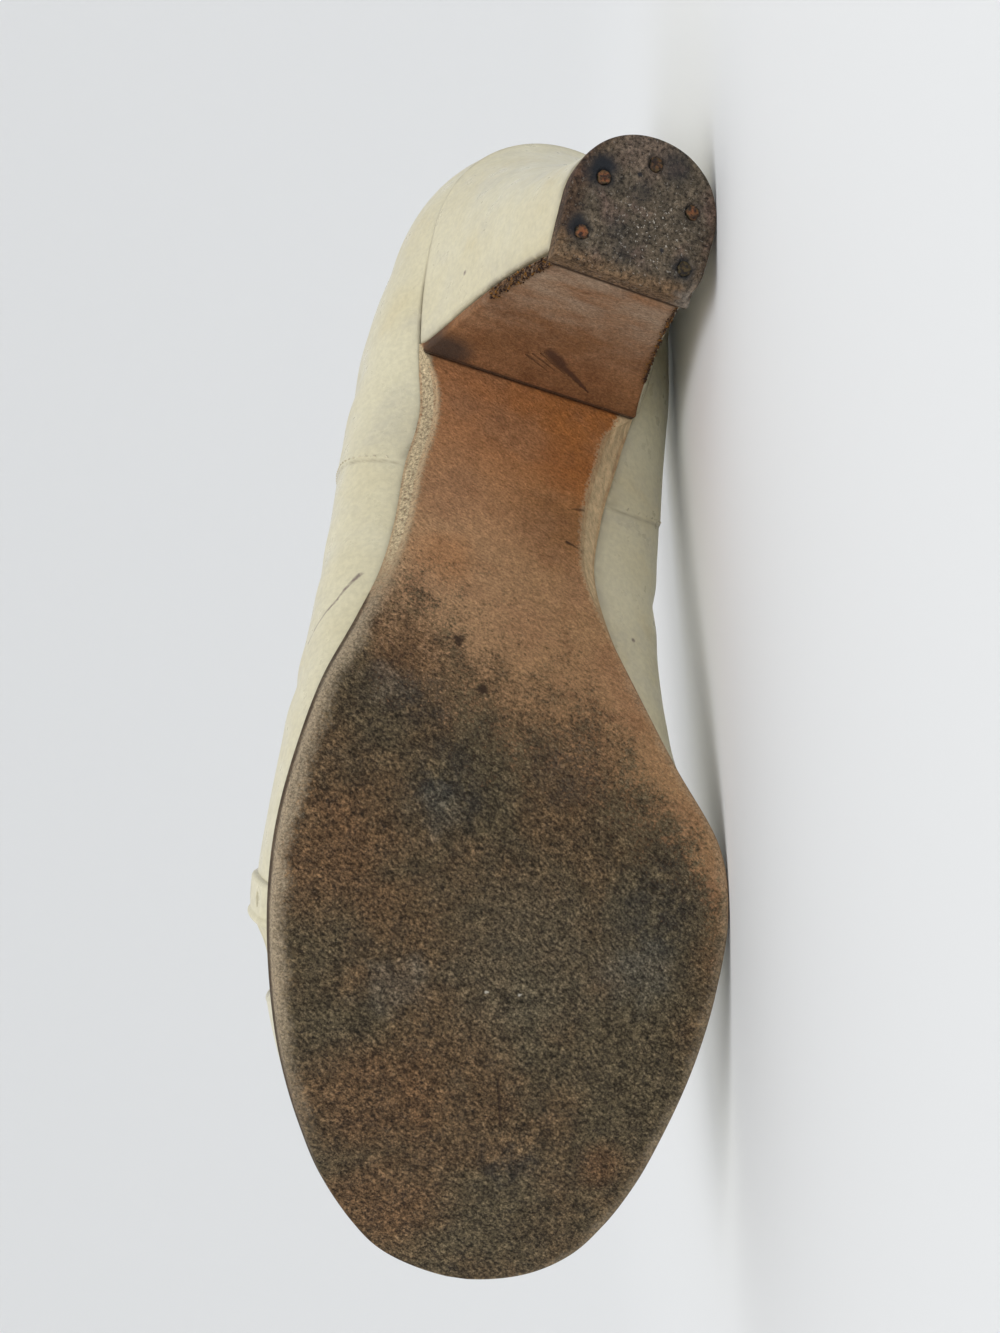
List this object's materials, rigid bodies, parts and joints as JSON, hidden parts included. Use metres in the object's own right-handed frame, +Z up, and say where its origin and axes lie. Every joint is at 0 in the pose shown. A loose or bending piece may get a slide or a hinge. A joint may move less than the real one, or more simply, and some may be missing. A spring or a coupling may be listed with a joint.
{
  "type": "peep-toe pump",
  "caption": "Women's peep-toe pump, left shoe, lying on its side: cream leather upper with side cut-outs, worn leather sole and a tapered covered heel.",
  "frame": {"origin": "centre of the box's underside, on the floor that the shoe lies on", "axes": "+Z up, the toe towards -X, the sole facing -Y, the lateral side up"},
  "size_m": [0.2382, 0.128, 0.0875],
  "materials": {
    "cream_leather": "semi-gloss, aged",
    "insole_leather": "satin, worn",
    "sole_leather": "matt, scuffed",
    "heel_cover": "semi-gloss, aged",
    "lift_rubber": "matt, worn",
    "nail_steel": "rusty"
  },
  "bodies": {
    "root": {"upper": "cream_leather", "insole": "insole_leather", "outsole": "sole_leather", "heel": "heel_cover", "top_lift": "lift_rubber", "top_lift_nail_1": "nail_steel", "top_lift_nail_2": "nail_steel", "top_lift_nail_3": "nail_steel", "top_lift_nail_4": "nail_steel", "top_lift_nail_5": "nail_steel"}
  },
  "joints": []
}
